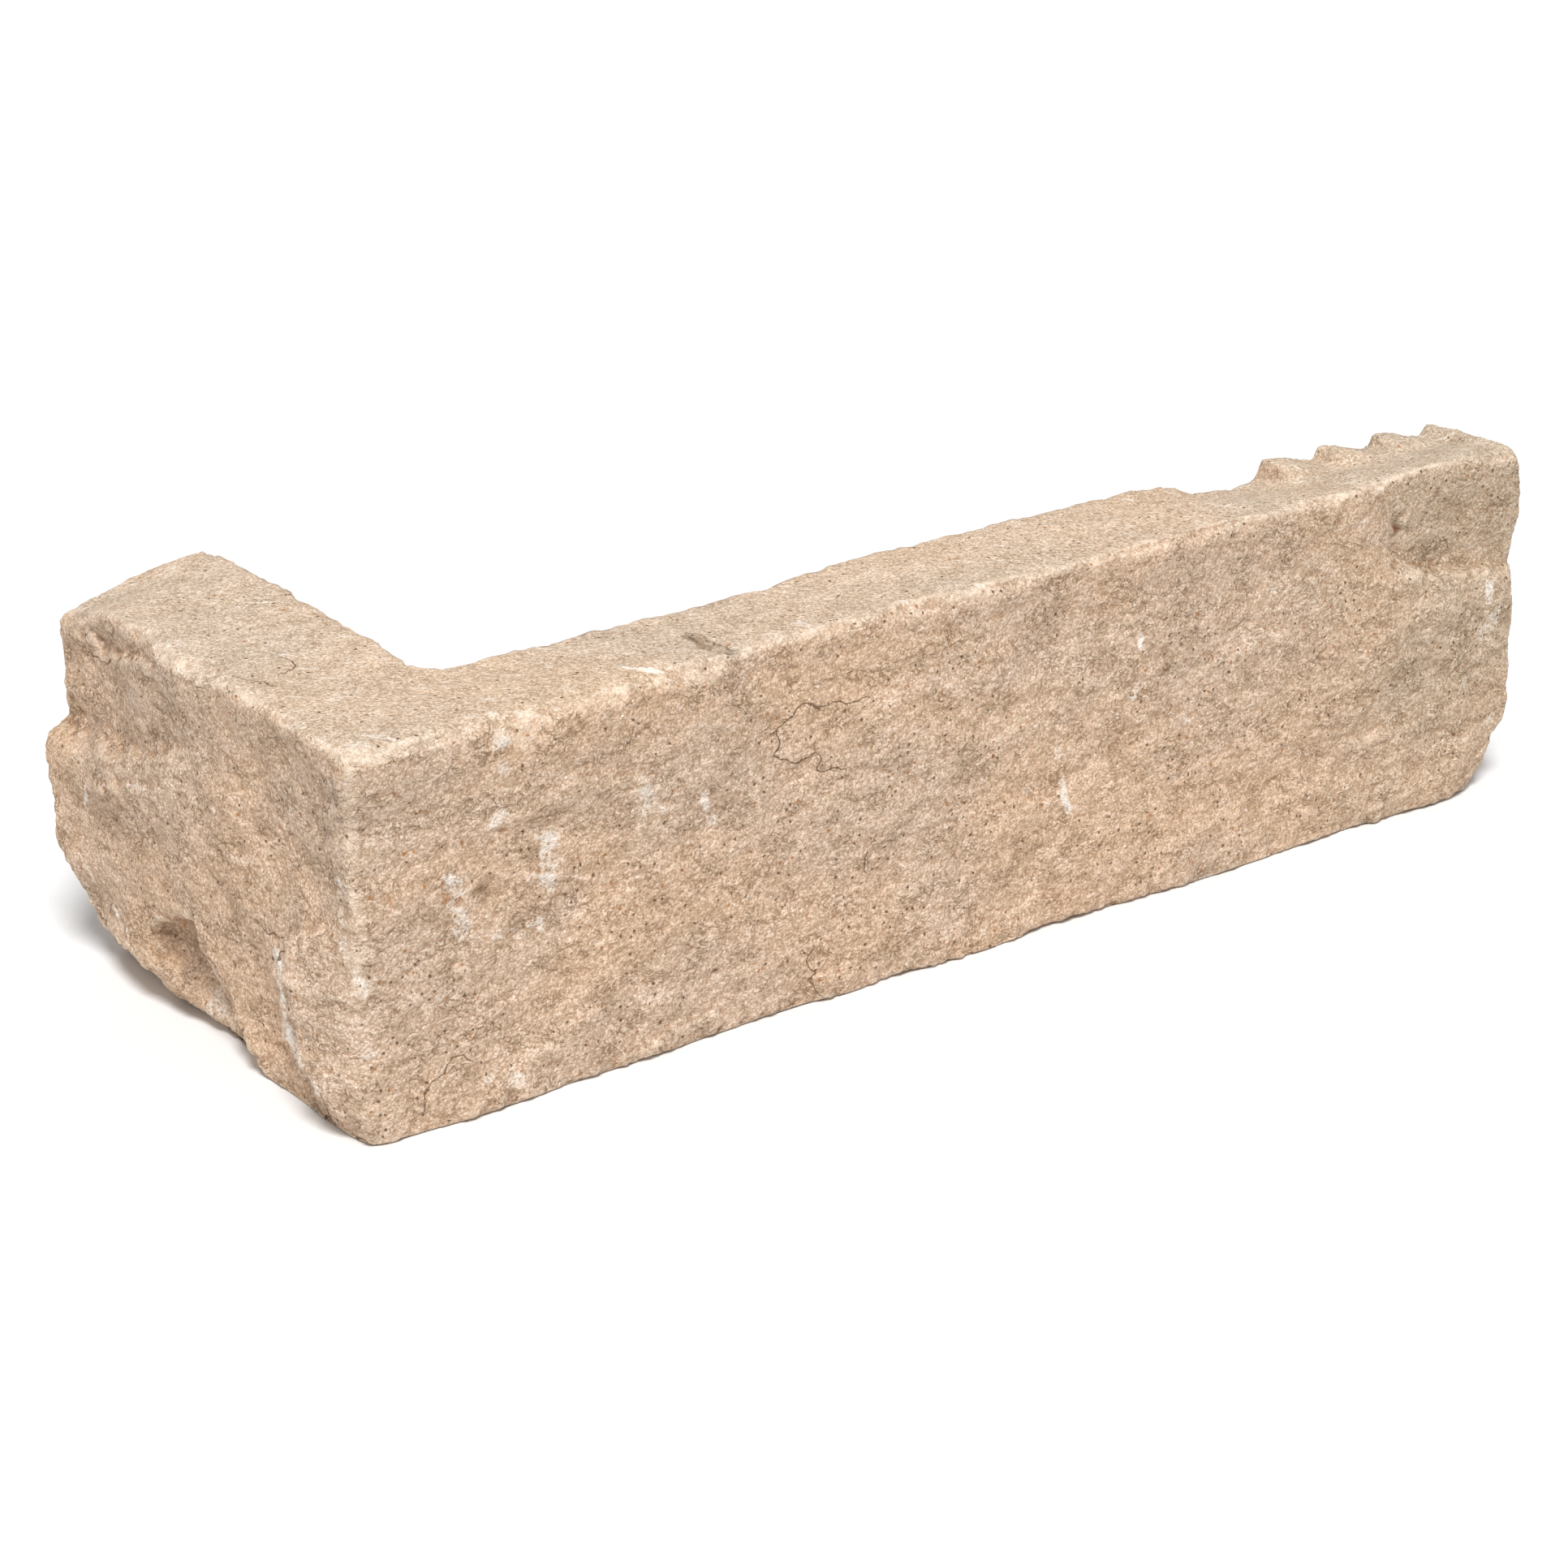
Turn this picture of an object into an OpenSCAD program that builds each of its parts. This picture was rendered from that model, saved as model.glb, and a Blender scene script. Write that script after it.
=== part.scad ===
// Corner piece of natural stone cladding: one L of sandstone with two split
// outer faces, sawn back faces and a flat bed. Millimetres.
// The outer corner stands near the origin while the skin is worked out: the
// long leg runs along +X, the short leg along +Y, and the bed is at Z = 0.
// place_on_bed() then moves the middle of the footprint to the origin.

/* [Size] */
// length of the long leg, from the outer corner to its broken end
long_length = 250; // [200:1:300]
// length of the short leg, from the outer corner to its broken end
short_length = 96; // [84:0.5:120]
// height of the course that the piece fills
course_height = 66; // [56:1:80]
// thickness of the long leg at its sawn back
long_thickness = 25; // [22:0.5:32]
// thickness of the short leg at its sawn back
short_thickness = 28; // [24:0.5:34]
// radius that the saw leaves in the inner corner
inner_radius = 4; // [2:0.5:8]

/* [Split faces] */
// how strong the overall roughness of the split faces is
roughness = 1; // [0.4:0.1:1.4]
// depth of the ledge near the far end of the long face
long_ledge = 3.5; // [1:0.5:4]
// how far the lower part of the short face stands out at its end
short_bulge = 5; // [2:0.5:7]
// how far the nose at the lower outer corner stands out
nose_out = 5; // [2:0.5:7]
// depth of the scoop broken out of the foot of the short face
scoop_depth = 2.6; // [1:0.2:4]

/* [Edges] */
// how strongly the edges are chipped and worn
edge_wear = 1; // [0.4:0.1:1.3]
// how far the outer top corner of the short end is broken down
end_break = 6; // [2:0.5:8]
// number of rounded lips on the back top edge
lip_count = 4; // [1:1:4]
// distance from one lip to the next
lip_pitch = 13.9; // [11:0.2:14]
// height of a lip above the top beside it
lip_height = 2.8; // [1:0.2:4]

/* [Hidden] */
// size of the piece that the places below were read from
read_long = 250;
read_short = 96;
read_foot = -1;
read_top = 65;
grid_step = 3.05;

// Smooth rise from 0 to 1 while t goes from 0 to 1.
function smooth(t) = let(c = min(1, max(0, t))) c * c * (3 - 2 * c);
function mix(a, b, t) = a + (b - a) * t;
// Round bump of height 1 at the middle m, w wide to each side.
function bump(t, m, w) = exp(-pow((t - m) / w, 2));

// Value noise between -1 and 1, for the grain of the break.
function chance(i, j, k) = let(v = sin(i * 127.1 + j * 311.7 + k * 74.7) * 43758.5453)
  2 * (v - floor(v)) - 1;
function noise(x, y, k) = let(i = floor(x), j = floor(y), a = smooth(x - i), b = smooth(y - j))
  mix(mix(chance(i, j, k), chance(i + 1, j, k), a),
      mix(chance(i, j + 1, k), chance(i + 1, j + 1, k), a), b);
// Broken stone: wide waves, then smaller hollows with sharp rims.
function broken(x, y, k) = roughness * (
  0.75 * noise(x / 23, y / 17, k)
  + 0.55 * noise(x / 9.5, y / 7.5, k + 1)
  + 0.3 * (0.5 - abs(noise(x / 6.6, y / 5.6, k + 2))));

// A step in a split face. 0 above the line, rising sharply just under it and
// rounding over to 1 further down.
function ledge(below, sharp, soft) = 0.7 * smooth(below / sharp) + 0.3 * smooth(below / soft);

// Long face: how far it stands out, at x along it and height z.
long_ledge_line = [[205, 52], [212, 51.5], [216, 50], [220, 48], [228, 47], [237, 45.5], [247, 43.5]];
long_ledge_size = [[203, 0], [213, 0.25], [219, 0.8], [228, 1], [236, 0.95], [243, 0.5], [250, 0.3]];
function long_face(x, z) = broken(x, z, 3)
  - long_ledge * lookup(x, long_ledge_size)
    * (1 - ledge(lookup(x, long_ledge_line) - z, 1.1, 6.5))
  + 1.5 * bump(x, 45, 24) * smooth((z - 38) / 22)
  - 1.4 * smooth((x - 66) / 8) * smooth((z - 44) / 20) * (1 - smooth((x - 196) / 20))
  - 0.8 * bump(x, 30, 17) * bump(z, 24, 13)
  + 0.8 * bump(x, 96, 22) * bump(z, 30, 16)
  - 0.7 * bump(x, 150, 18) * bump(z, 22, 14)
  - 0.9 * smooth((x - 236) / 10) * bump(z, 20, 14)
  + 1.1 * bump(x, 26, 15) * bump(z, -1, 9);

// Short face: how far it stands out, at y along it and height z.
short_ledge_line = [[28, 51], [38, 49.5], [52, 46], [64, 44], [71, 43], [81, 41], [94, 40.3]];
short_ledge_size = [[28, 0], [40, 0.15], [60, 0.42], [80, 0.78], [94, 1]];
nose_ridge = [[0, 4], [4, 6.5], [10, 10], [17, 12.5], [24, 13.5], [29, 14], [33, 15]];
nose_size = [[0, 0], [2.5, 0.25], [8, 0.62], [14, 0.85], [24, 1], [29, 0.95], [33, 0.5],
  [38, 0.08], [42, 0]];
scoop_rim = [[0, 34], [5, 38.9], [10.8, 39.5], [14.6, 44], [19, 49], [24.6, 58], [30.7, 66]];
function nose(y, z) = let(ridge = lookup(z, nose_ridge), away = y - ridge)
  nose_out * lookup(z, nose_size)
    * (away < 0 ? mix(0.12, 1, smooth(0.5 + 0.5 * y / ridge) * y / ridge)
                : 1 - 0.8 * smooth(away / 3.2) - 0.2 * smooth(away / 16));
function scoop(y, z) = let(away = y - lookup(z, scoop_rim))
  scoop_depth * smooth(away / 4.5) * (1 - smooth((away - 9) / 18)) * (1 - smooth((z - 10) / 9));
function short_face(y, z) = broken(y + 40, z, 11)
  + short_bulge * lookup(y, short_ledge_size) * ledge(lookup(y, short_ledge_line) - z, 1.6, 8)
    * (1 - 0.2 * smooth((36 - z) / 15))
  + nose(y, z) - scoop(y, z)
  + 1.6 * bump(y + 0.62 * (z - 60), 60, 9) * smooth((z - 26) / 10) * (1 - smooth((z - 62) / 6))
  - 0.9 * bump(y, 82, 9) * bump(z, 54, 8)
  - 0.9 * bump(y, 20, 11) * bump(z, 48, 14)
  + 1.2 * bump(y, 37, 8) * bump(z, 1, 7)
  - 2.6 * smooth((y - 66) / 20) * (1 - smooth((z - 5) / 13));

// Edges: how far the top edge of each outer face is worn down, how far the bed
// edge is lifted, and how the broken ends run in, at each height.
long_top_drop = [[0, 1.6], [7, 0.9], [13, 0.3], [18, 1.1], [23, 2.2], [26, 3.1], [30, 2.4], [36, 1.3],
  [50, 1.3], [60, 1.1], [68, 0.9], [73, 0.1], [86, -0.1], [103, 0.3], [110, 0.5], [118, 0],
  [136, 0.2], [157, -0.5], [176, -0.6], [193, 0.1], [212, 0.2], [226, -0.3], [236, -0.4],
  [243, 0.9], [247, 2.4]];
short_top_drop = [[0, 1.6], [7, 0.6], [12, 0.4], [20, 0.1], [30, 0.5], [40, 0], [43, 1.3], [48, 0.4],
  [56, 0.1], [61, 0.9], [66, 0.7], [71, 0.3], [74, 0.6]];
long_bed_lift = [[0, 0.4], [13, 0], [30, 0], [38, 0.3], [52, 0.5], [61, 0], [71, 0], [79, 0.3],
  [96, 0], [108, 0.8], [121, 0.2], [130, 0], [137, 1], [155, 0.4], [164, 0.5], [177, 0], [200, 0],
  [212, 0.3], [228, 0.7], [240, 1.2], [250, 1.3]];
short_bed_lift = [[0, 0.5], [10, 0], [20, 0], [30, 0], [41, 0.8], [48, 1.8], [53, 3.8], [61, 6.4], [74, 7],
  [82, 6.6], [89, 7], [96, 9]];
long_end_in = [[-1, 8.5], [3, 4.6], [7, 3.4], [8.6, 3], [9.6, -0.3], [13, -0.9], [26, 0.2], [34, 0.8],
  [38, 1.7], [41, 2.3], [44, 0.2], [54, -0.8], [60, -0.3], [65, 0.8]];
short_end_in = [[-1, 9], [10, 4.4], [15, 2], [24, 1.2], [34, -0.3], [40, -0.9], [44, -0.5], [52, 0.6],
  [58, -0.2], [65, 0.6]];
function short_drop(y) = y < 74 ? lookup(y, short_top_drop)
  : 0.6 + (end_break - 0.6) / edge_wear * smooth((y - 72) / 25);

// Top: height above or below the level course, at x, y on the standard piece.
back_height = [[28, -0.4], [38, -0.9], [51, -0.9], [64, -0.8], [78, -1], [95, -0.6], [112, 0.7], [125, 0.2],
  [139, 0.2], [158, 0.5], [176, 0.4], [183, 0], [190, -3.3], [197, -3.9], [204, -3.6], [206, -2.6],
  [219, -2.8], [240, -3], [250, -4.2]];
inner_height = [[25, -0.4], [45, 0.5], [58, 0.7], [76, 0.6], [88, 0.4], [96, -0.6]];
lip_start = 204.6;
function lips(x, y) = let(n = (x - lip_start) / lip_pitch, t = n - floor(n),
    last = n >= lip_count - 1)
  n < 0 || n >= lip_count ? 0
  : lip_height * smooth(t / 0.1) * (1 - 0.75 * smooth((t - 0.2) / 0.78))
    * smooth((y - (last ? 5 : 16)) / (last ? 16 : 4.5));
function top_of(x, y, corner) = let(on_long = y * corner[0] < x * corner[1])
  0.28 * roughness * (noise(x / 13, y / 11, 21) + 0.7 * noise(x / 5.7, y / 5.1, 22))
  + lips(x, y)
  + (on_long ? lookup(x, back_height) * smooth((y - 3) / (corner[1] - 3))
             : lookup(y, inner_height) * smooth((x - 3) / (corner[0] - 3)))
  - end_break * 0.86 * smooth((y - 78) / 16) * (1 - smooth((x + 1) / 28));

// A station is one line over the section, from the flat bed out to the foot,
// up the face and over the top to the sawn back. Its outer point slides along
// the long face, round the corner and along the short face; its inner point
// follows the sawn backs and turns in the inner corner.
turn_x = short_thickness + inner_radius;
turn_y = long_thickness + inner_radius;
function spread(from, to) = let(n = max(1, round(abs(to - from) / grid_step)))
  [for (i = [1:n]) mix(from, to, i / n)];
end_steps = [0, 0.9, 2.2, 4.2];
corner_steps = [5, 3, 1.4, 0.4];
lip_steps = [10.4, 6.6, 3.6, 1.4, 0];
lip_places = [for (n = [lip_count - 1:-1:0], e = lip_steps)
  let(x = (lip_start + n * lip_pitch + e) * long_length / read_long)
  if (x < long_length - end_steps[3] - 1) x];
long_places = concat([for (e = end_steps) long_length - e],
  spread(long_length - end_steps[3], lip_places[0]), [for (i = [1:len(lip_places) - 1]) lip_places[i]],
  spread(lip_places[len(lip_places) - 1], turn_x), spread(turn_x, corner_steps[0]),
  [for (i = [1:3]) corner_steps[i]]);
short_places = concat([for (i = [3:-1:0]) corner_steps[i]], spread(corner_steps[0], turn_y),
  spread(turn_y, short_length - end_steps[3]), [for (i = [2:-1:0]) short_length - end_steps[i]]);
// [outer x, outer y, inner x, inner y, 1 on the long leg]
function turn_point(a) = [turn_x + inner_radius * cos(a), turn_y + inner_radius * sin(a)];
function inner_long(x) = x >= turn_x ? [x, long_thickness]
  : turn_point(-90 - 45 * (turn_x - x) / turn_x);
function inner_short(y) = y >= turn_y ? [short_thickness, y]
  : turn_point(-180 + 45 * (turn_y - y) / turn_y);
stations = concat(
  [for (x = long_places) [x, 0, inner_long(x)[0], inner_long(x)[1], 1]],
  [for (y = short_places) [0, y, inner_short(y)[0], inner_short(y)[1], 0]]);

// Heights of the rows on an outer face, closer together at the edges.
inner_rows = 19;
face_rows = concat([0, 0.015, 0.045],
  [for (i = [1:inner_rows]) mix(0.045, 0.965, i / inner_rows)], [0.985, 1]);
top_rows = [0.05, 0.13, 0.27, 0.43, 0.6, 0.74, 0.86, 0.94, 1];

// Corner of the two faces: the edge is cut back by this much at each height.
corner_cut = [[0, 1.8], [6, 1.2], [20, 1.9], [32, 1.5], [36, 0.5], [45, 0.6], [52, 1.4],
  [60, 0.7], [65, 1.5]];

// Point on the outer skin. The last millimetres at each end are rounded in,
// and the broken end itself leans in at each height.
function skin(s, part) = let(
    z = part * course_height, rz = mix(read_foot, read_top, part),
    long = s[4] == 1,
    along = long ? s[0] : s[1],
    reach = long ? long_length : short_length,
    u = along * (long ? read_long : read_short) / reach,
    from_end = reach - along,
    out = long ? long_face(u, rz) : short_face(u, rz),
    corner = exp(-along / 1.3) * edge_wear * lookup(rz, corner_cut) * 0.45,
    other = (along < 24 ? exp(-along / 7) : 0) * (long ? short_face(0, rz) : long_face(0, rz)),
    drop = edge_wear * (long ? lookup(u, long_top_drop) : short_drop(u)),
    lift = edge_wear * (long ? lookup(u, long_bed_lift) : lookup(u, short_bed_lift)),
    worn = edge_wear * (0.35 * exp(-(course_height - z) / 0.9) + 0.4 * exp(-z / 1.5)
      + 0.8 * exp(-from_end / 0.9)),
    lean = lookup(rz, long ? long_end_in : short_end_in) * exp(-from_end / 9),
    o = out - worn - corner,
    side = other - (along < 24 ? corner : 0),
    h = z - drop * exp(-(course_height - z) / (3.5 + 1.3 * max(0, drop)))
      + (lift + 0.15) * exp(-z / (6 + 1.5 * lift)))
  long ? [s[0] - lean - side, -o, h] : [-o, s[1] - lean - side, h];

// Line of one station. The bed edge runs up from the flat bed to the foot;
// where the foot is broken away higher, the flat bed starts further in.
function line_of(s) = let(
    outer = [for (p = face_rows) skin(s, p)],
    edge = outer[len(outer) - 1], foot = outer[0],
    inner = [s[2], s[3]],
    wide = norm(inner - [edge[0], edge[1]]),
    deep = norm(inner - [foot[0], foot[1]]),
    start = min(0.4, (1.6 + 0.75 * foot[2] + 0.5 * noise((s[0] + s[1]) / 5, s[4], 41)) / deep),
    rx = read_long / long_length, ry = read_short / short_length)
  concat(
    [for (t = [1, 0.5]) [mix(foot[0], inner[0], start * t), mix(foot[1], inner[1], start * t),
      t == 1 ? 0 : 0.3 * foot[2]]],
    outer,
    [for (t = top_rows) let(
        x = mix(edge[0], inner[0], t), y = mix(edge[1], inner[1], t),
        level = course_height + top_of(x * rx, y * ry, [short_thickness * rx, long_thickness * ry]))
      [x, y, mix(edge[2], level, smooth(0.3 + wide * t / 4.5))]]);

// Broken end: loops drawn in towards the middle of the end.
function middle_of(points) = [for (a = points) 1] * points / len(points);
function pull(points, part, side) = let(middle = middle_of(points))
  [for (p = points) let(q = mix(middle, p, part))
    q + side * (1 - part) * (1.1 + 0.5 * roughness * noise(q[0] / 6 + q[1] / 6, q[2] / 7, 31))];
end_parts = [0.8, 0.55, 0.28];

// Triangles between a loop of points and a few corners inside it. Each loop
// point belongs to one corner, its own, and the corners follow in turn.
function zip(loop, own) = let(n = len(loop))
  [for (i = [0:n - 1]) let(j = (i + 1) % n, a = own[i], b = own[j])
    each a == b ? [[loop[i], loop[j], a]]
      : [[loop[i], loop[j], b], [loop[i], b, a]]];
// The one of four corners that is nearest to each point of a loop.
function nearest(all, loop, first) = [for (i = loop) let(
    far = [for (c = [0:3]) norm(all[first + c] - all[i])], low = min(far))
  [for (c = [0:3]) if (far[c] == low) first + c][0]];
function turned(faces) = [for (f = faces) [f[0], f[2], f[1]]];

module stone() {
  lines = [for (s = stations) line_of(s)];
  n = len(lines);
  m = len(lines[0]);
  // the foot of the sawn back, below the inner point of each station that
  // stands at an end or in the turn of the inner corner
  turn = [for (i = [0:n - 1]) if (stations[i][0] <= turn_x + 0.01 && stations[i][1] <= turn_y + 0.01) i];
  backs = concat([0], turn, [n - 1]);
  back_feet = [for (i = backs) [lines[i][m - 1][0], lines[i][m - 1][1], 0]];
  foot_at = n * m;
  loops = [concat(lines[0], [back_feet[0]]), concat(lines[n - 1], [back_feet[len(backs) - 1]])];
  caps_at = foot_at + len(backs);
  caps = [for (e = [0, 1], p = concat(end_parts, [0])) each
    p > 0 ? pull(loops[e], p, [1 - e, e, 0]) : [middle_of(loops[e]) + 1.2 * [1 - e, e, 0]]];
  cap_size = len(end_parts) * (m + 1) + 1;
  // corners of the flats: four on each sawn back, six on the bed
  in_from = 5;
  far_x = long_length - 14;
  far_y = short_length - 16;
  low = 5;
  high = course_height - 8;
  flats = [
    [far_x + 8, long_thickness, low], [far_x + 8, long_thickness, high],
    [turn_x + 2, long_thickness, high], [turn_x + 2, long_thickness, low],
    [short_thickness, turn_y + 2, low], [short_thickness, turn_y + 2, high],
    [short_thickness, far_y + 8, high], [short_thickness, far_y + 8, low],
    [in_from, in_from, 0], [far_x, in_from + 1, 0], [far_x, long_thickness - 4, 0],
    [short_thickness - 4, long_thickness - 4, 0], [short_thickness - 4, far_y, 0], [in_from + 5, far_y, 0]];
  flats_at = caps_at + 2 * cap_size;
  points = concat([for (r = lines) each r], back_feet, caps, flats);

  skin_faces = [for (i = [0:n - 2], j = [0:m - 2]) let(
      a = i * m + j, b = a + 1, c = a + m, d = b + m)
    each (i + j) % 2 == 0 ? [[a, b, d], [a, d, c]] : [[a, b, c], [b, d, c]]];
  cap_faces = [for (e = [0, 1]) let(
      at = caps_at + e * cap_size, k = m + 1,
      rim = concat([for (j = [0:m - 1]) e * (n - 1) * m + j], [foot_at + e * (len(backs) - 1)]),
      rims = concat([rim], [for (q = [0:len(end_parts) - 1]) [for (j = [0:k - 1]) at + q * k + j]]),
      hub = at + len(end_parts) * k,
      faces = concat(
        [for (q = [0:len(end_parts) - 1], j = [0:k - 1]) let(
            a = rims[q][j], b = rims[q][(j + 1) % k], c = rims[q + 1][j], d = rims[q + 1][(j + 1) % k])
          each [[a, c, b], [b, c, d]]],
        [for (j = [0:k - 1]) [rims[len(end_parts)][j], hub, rims[len(end_parts)][(j + 1) % k]]]))
    each e == 0 ? faces : turned(faces)];
  // turn of the inner corner, one narrow strip for each station
  turn_faces = [for (q = [1:len(turn) - 1]) let(
      a = turn[q - 1] * m + m - 1, b = turn[q] * m + m - 1, c = foot_at + q, d = c + 1)
    each [[a, c, d], [a, d, b]]];
  long_back = concat([for (i = [0:turn[0]]) i * m + m - 1], [foot_at + 1, foot_at]);
  short_back = concat([for (i = [turn[len(turn) - 1]:n - 1]) i * m + m - 1],
    [foot_at + len(backs) - 1, foot_at + len(backs) - 2]);
  bed = concat([for (i = [0:n - 1]) i * m], [for (q = [len(backs) - 1:-1:0]) foot_at + q]);
  bed_at = flats_at + 8;
  bed_own = concat(
    [for (s = stations) bed_at + (s[0] > far_x / 2 ? 1 : s[1] < far_y / 2 ? 0 : 5)],
    [bed_at + 4], [for (q = turn) bed_at + 3], [bed_at + 2]);
  function quad(k) = [[k, k + 2, k + 1], [k, k + 3, k + 2]];
  flat_faces = concat(
    turned(zip(long_back, nearest(points, long_back, flats_at))), quad(flats_at),
    turned(zip(short_back, nearest(points, short_back, flats_at + 4))), quad(flats_at + 4),
    zip(bed, bed_own), [for (i = [1:4]) [bed_at, bed_at + i + 1, bed_at + i]]);
  polyhedron(points, turned(concat(skin_faces, cap_faces, turn_faces, flat_faces)), convexity = 6);
}

module place_on_bed() {
  translate([-long_length / 2 + 2.7, -short_length / 2 + 0.9, 0]) children();
}

module stone_corner() {
  color([0.82, 0.72, 0.61]) place_on_bed() stone();
}

stone_corner();
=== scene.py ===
# A corner piece of sandstone cladding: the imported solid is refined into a
# natural split stone, lit softly on a pale floor and seen as photographed.
import math

import bmesh
import bpy
import numpy as np
from mathutils import Matrix, Vector


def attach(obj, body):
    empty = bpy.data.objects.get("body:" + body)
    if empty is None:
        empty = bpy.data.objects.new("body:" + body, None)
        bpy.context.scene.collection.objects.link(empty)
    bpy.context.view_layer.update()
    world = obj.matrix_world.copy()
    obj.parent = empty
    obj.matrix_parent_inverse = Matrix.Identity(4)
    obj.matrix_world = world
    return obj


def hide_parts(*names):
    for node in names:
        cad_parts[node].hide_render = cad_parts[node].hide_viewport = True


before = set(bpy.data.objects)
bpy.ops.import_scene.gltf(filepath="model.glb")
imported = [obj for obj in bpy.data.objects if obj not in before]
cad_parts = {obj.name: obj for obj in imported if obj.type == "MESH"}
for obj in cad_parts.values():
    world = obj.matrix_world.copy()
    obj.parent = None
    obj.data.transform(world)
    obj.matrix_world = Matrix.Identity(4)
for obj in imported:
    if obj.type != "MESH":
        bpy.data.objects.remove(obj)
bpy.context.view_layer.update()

mm = 0.001
# where the outer corner of the two split faces stands on the bed
corner = Vector((-122.3, -47.1, 1.0)) * mm
# in millimetres: how long and thick each leg is, and how high the top
longLeg = {"length": 250, "thick": 25}
shortLeg = {"length": 96, "thick": 28}
height = 65
# a split face's marks fade out this far behind it, the top's this low down
faceDepth, faceFade = 9, 3
topFrom, topFade = 61.5, 1.5
# the sawn planes at the legs' backs
longBack = corner.y + longLeg["thick"] * mm
shortBack = corner.x + shortLeg["thick"] * mm
# bedding runs along the course, so the stone's pattern is drawn out lengthways
bedding = (0.62, 0.62, 1.0)


# Camera
view = {
    "azimuth": math.radians(36.27),   # turned from looking straight at the long face
    "elevation": math.radians(22.75),
    "distance": 600 * mm,             # from the corner's plane to the lens
    "right": 64.78 * mm,              # picture centre, right of the corner
    "up": 56.02 * mm,                 # and above it
    "lens": 89.28,
}


def addCamera():
    cosA, sinA = math.cos(view["azimuth"]), math.sin(view["azimuth"])
    cosE, sinE = math.cos(view["elevation"]), math.sin(view["elevation"])
    right = Vector((cosA, -sinA, 0))
    ahead = Vector((sinA * cosE, cosA * cosE, -sinE))
    up = right.cross(ahead)
    data = bpy.data.cameras.new("photo_view")
    data.lens = view["lens"]
    data.sensor_width = 36
    data.clip_start = 0.01
    data.clip_end = 50
    cam = bpy.data.objects.new("photo_view", data)
    eye = corner + right * view["right"] + up * view["up"] - ahead * view["distance"]
    turn = Matrix((right, up, -ahead)).transposed().to_4x4()
    cam.matrix_world = Matrix.Translation(eye) @ turn
    bpy.context.collection.objects.link(cam)
    bpy.context.scene.camera = cam


# Node helpers
def link(tree, value, socket):
    if isinstance(value, bpy.types.NodeSocket):
        tree.links.new(value, socket)
    elif value is not None:
        socket.default_value = value


def add(tree, kind, **settings):
    node = tree.nodes.new(kind)
    for key, value in settings.items():
        setattr(node, key, value)
    return node


def calc(tree, how, a, b=None, clamp=False):
    node = add(tree, "ShaderNodeMath", operation=how, use_clamp=clamp)
    link(tree, a, node.inputs[0])
    if b is not None:
        link(tree, b, node.inputs[1])
    return node.outputs[0]


def vector(tree, how, a, b=None, scale=None):
    node = add(tree, "ShaderNodeVectorMath", operation=how)
    link(tree, a, node.inputs[0])
    if b is not None:
        link(tree, b, node.inputs[1])
    if scale is not None:
        link(tree, scale, node.inputs["Scale"])
    return node.outputs["Value" if how in ("DOT_PRODUCT", "LENGTH") else "Vector"]


# maps low to high smoothly onto fromValue to toValue
def span(tree, value, low, high, fromValue=0.0, toValue=1.0):
    if low > high:
        low, high, fromValue, toValue = high, low, toValue, fromValue
    node = add(tree, "ShaderNodeMapRange", interpolation_type="SMOOTHSTEP")
    for socket, v in zip(node.inputs, (value, low, high, fromValue, toValue)):
        link(tree, v, socket)
    return node.outputs[0]


# noise about 0.5, with features about size metres across
def grainNoise(tree, place, size, detail=2.0, rough=0.5, warp=0.0):
    node = add(tree, "ShaderNodeTexNoise")
    link(tree, place, node.inputs["Vector"])
    node.inputs["Scale"].default_value = 1 / size
    node.inputs["Detail"].default_value = detail
    node.inputs["Roughness"].default_value = rough
    node.inputs["Distortion"].default_value = warp
    return node.outputs[0]


# The split skin
skin = {
    "voxel": 0.46 * mm,       # spacing of the dense mesh
    "faces": 196000,          # triangles left after thinning
    "round": 9,               # smoothing passes over the solid's facets
    "wave": 0.34 * mm,        # depths of the three layers of relief
    "hollow": 0.36 * mm,
    "grain": 0.22 * mm,
    "chip": 0.55 * mm,        # unevenness of the edges
    "gain": 3.2,              # stretches a noise about nothing to about -1 to 1
    "crest": 0.12,            # where the creases of a folded noise stand
}
# how far across the bumps of each are
bumpSize = {"wave": 6 * mm, "hollow": 2.8 * mm, "grain": 1.25 * mm, "chip": 3.4 * mm}

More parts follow.
